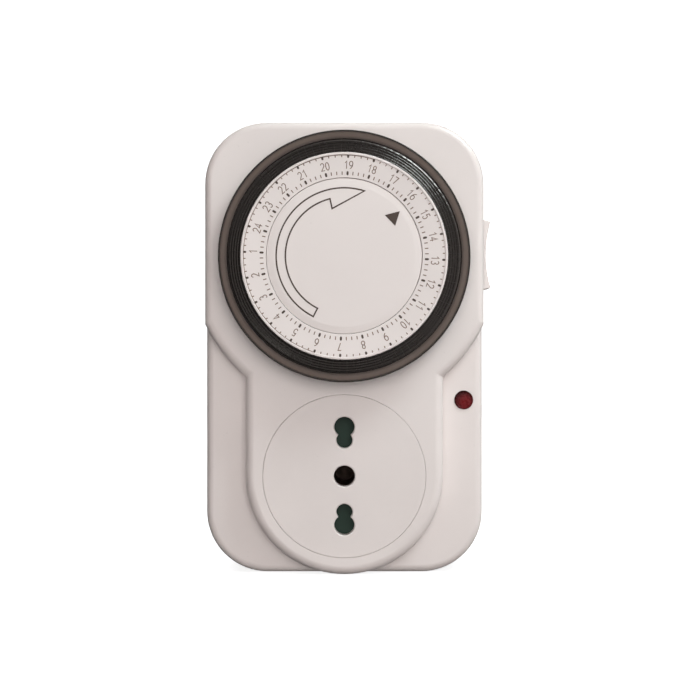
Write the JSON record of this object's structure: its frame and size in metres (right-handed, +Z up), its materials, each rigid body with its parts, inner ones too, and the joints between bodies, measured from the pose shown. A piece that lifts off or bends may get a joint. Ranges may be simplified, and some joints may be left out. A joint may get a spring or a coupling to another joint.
{
  "type": "plug-in timer",
  "caption": "Mechanical 24-hour plug-in timer: turning dial with push-down segments above a shuttered outlet, wall plug on the back, side rocker.",
  "frame": {"origin": "on the axis of the middle (earth) pin, at the back face that meets the wall outlet", "axes": "+Z up as plugged in, the dial faces -Y, the plug pins point along +Y, +X to the right seen from the front"},
  "size_m": [0.0763, 0.0633, 0.12],
  "materials": {
    "white_shell": "moulded, soft gloss",
    "white_outlet": "moulded, soft gloss",
    "white_rocker": "moulded, soft gloss",
    "white_cap": "moulded, printed in brown",
    "dial_print": "moulded, printed with a 24-hour scale",
    "black_segment": "moulded",
    "black_drum": "moulded",
    "smoked_rim": "smoked, clear and polished",
    "gear_white": "moulded acetal",
    "plated_pin": "nickel plated brass",
    "sleeve_black": "moulded",
    "shutter_green": "moulded",
    "block_grey": "moulded",
    "brass_contact": "stamped, bright",
    "steel": "zinc plated",
    "lever_natural": "moulded",
    "red_lens": "clear red, polished",
    "lamp_glass": "clear",
    "resistor_body": "lacquered",
    "tinned_lead": "tinned copper wire",
    "wire_blue": "insulated wire"
  },
  "bodies": {
    "housing": {"rear_housing": "white_shell", "front_housing": "white_shell", "housing_screws": "steel", "live_pin": "plated_pin", "neutral_pin": "plated_pin", "earth_pin": "plated_pin", "pin_sleeves": "sleeve_black", "outlet_disc": "white_outlet", "contact_block": "block_grey", "live_contact": "brass_contact", "neutral_contact": "brass_contact", "earth_contact": "brass_contact", "mechanism_plate": "steel", "motor_can": "steel", "motor_cover": "steel", "motor_screws": "steel", "idler_axle": "steel", "centre_post": "steel", "dial_washer": "steel", "centre_cap": "white_cap", "lever_pin": "steel", "live_strip": "brass_contact", "switched_strip": "brass_contact", "rocker_frame": "block_grey", "lamp_lens": "red_lens", "neon_lamp": "lamp_glass", "lamp_resistor": "resistor_body", "lamp_leads": "tinned_lead", "motor_leads": "wire_blue"},
    "dial": {"dial_drum": "black_drum", "dial_gear": "gear_white", "number_ring": "dial_print", "dial_rim": "smoked_rim"},
    "idler": {"idler_gear": "gear_white"},
    "motor_output": {"motor_pinion": "gear_white"},
    "shutter": {"shutter": "shutter_green"},
    "switch": {"switch_lever": "lever_natural", "moving_contact": "brass_contact"},
    "rocker": {"rocker": "white_rocker"},
    "segments_00": {"segments_00": "black_segment"},
    "segments_02": {"segments_02": "black_segment"},
    "segments_04": {"segments_04": "black_segment"},
    "segments_06": {"segments_06": "black_segment"},
    "segments_08": {"segments_08": "black_segment"},
    "segments_10": {"segments_10": "black_segment"},
    "segments_12": {"segments_12": "black_segment"},
    "segments_14": {"segments_14": "black_segment"},
    "segments_16": {"segments_16": "black_segment"},
    "segments_18": {"segments_18": "black_segment"},
    "segments_20": {"segments_20": "black_segment"},
    "segments_22": {"segments_22": "black_segment"}
  },
  "joints": [
    {"name": "dial_turn", "type": "hinge", "parent": "housing", "child": "dial", "pos_m": [0, -0.03, 0.0578], "axis": [0, 1, 0], "continuous": true},
    {"name": "idler_turn", "type": "hinge", "parent": "housing", "child": "idler", "pos_m": [-0.0255, -0.025, 0.05097], "axis": [0, 1, 0], "continuous": true},
    {"name": "motor_turn", "type": "hinge", "parent": "housing", "child": "motor_output", "pos_m": [-0.0153, -0.022, 0.05097], "axis": [0, 1, 0], "continuous": true},
    {"name": "shutter_turn", "type": "hinge", "parent": "housing", "child": "shutter", "pos_m": [0, -0.0306, 0], "axis": [0, 1, 0], "range_deg": [0, 28], "stiffness_Nm_per_rad": 0.01},
    {"name": "switch_press", "type": "hinge", "parent": "housing", "child": "switch", "pos_m": [0.027, -0.0245, 0.036], "axis": [-1, 0, 0], "range_deg": [0, 4], "stiffness_Nm_per_rad": 0.05},
    {"name": "rocker_tilt", "type": "hinge", "parent": "housing", "child": "rocker", "pos_m": [0.0332, -0.026, 0.059], "axis": [0, 1, 0], "range_deg": [-6, 6]},
    {"name": "push_segments_00", "type": "slide", "parent": "dial", "child": "segments_00", "axis": [0, 1, 0], "range_m": [0, 0.0028]},
    {"name": "push_segments_02", "type": "slide", "parent": "dial", "child": "segments_02", "axis": [0, 1, 0], "range_m": [0, 0.0028]},
    {"name": "push_segments_04", "type": "slide", "parent": "dial", "child": "segments_04", "axis": [0, 1, 0], "range_m": [0, 0.0028]},
    {"name": "push_segments_06", "type": "slide", "parent": "dial", "child": "segments_06", "axis": [0, 1, 0], "range_m": [0, 0.0028]},
    {"name": "push_segments_08", "type": "slide", "parent": "dial", "child": "segments_08", "axis": [0, 1, 0], "range_m": [0, 0.0028]},
    {"name": "push_segments_10", "type": "slide", "parent": "dial", "child": "segments_10", "axis": [0, 1, 0], "range_m": [0, 0.0028]},
    {"name": "push_segments_12", "type": "slide", "parent": "dial", "child": "segments_12", "axis": [0, 1, 0], "range_m": [0, 0.0028]},
    {"name": "push_segments_14", "type": "slide", "parent": "dial", "child": "segments_14", "axis": [0, 1, 0], "range_m": [0, 0.0028]},
    {"name": "push_segments_16", "type": "slide", "parent": "dial", "child": "segments_16", "axis": [0, 1, 0], "range_m": [0, 0.0028]},
    {"name": "push_segments_18", "type": "slide", "parent": "dial", "child": "segments_18", "axis": [0, 1, 0], "range_m": [0, 0.0028]},
    {"name": "push_segments_20", "type": "slide", "parent": "dial", "child": "segments_20", "axis": [0, 1, 0], "range_m": [0, 0.0028]},
    {"name": "push_segments_22", "type": "slide", "parent": "dial", "child": "segments_22", "axis": [0, 1, 0], "range_m": [0, 0.0028]}
  ],
  "couplings": [
    {"joint": "idler_turn", "follows": "dial_turn", "ratio": -10},
    {"joint": "motor_turn", "follows": "dial_turn", "ratio": 24}
  ]
}
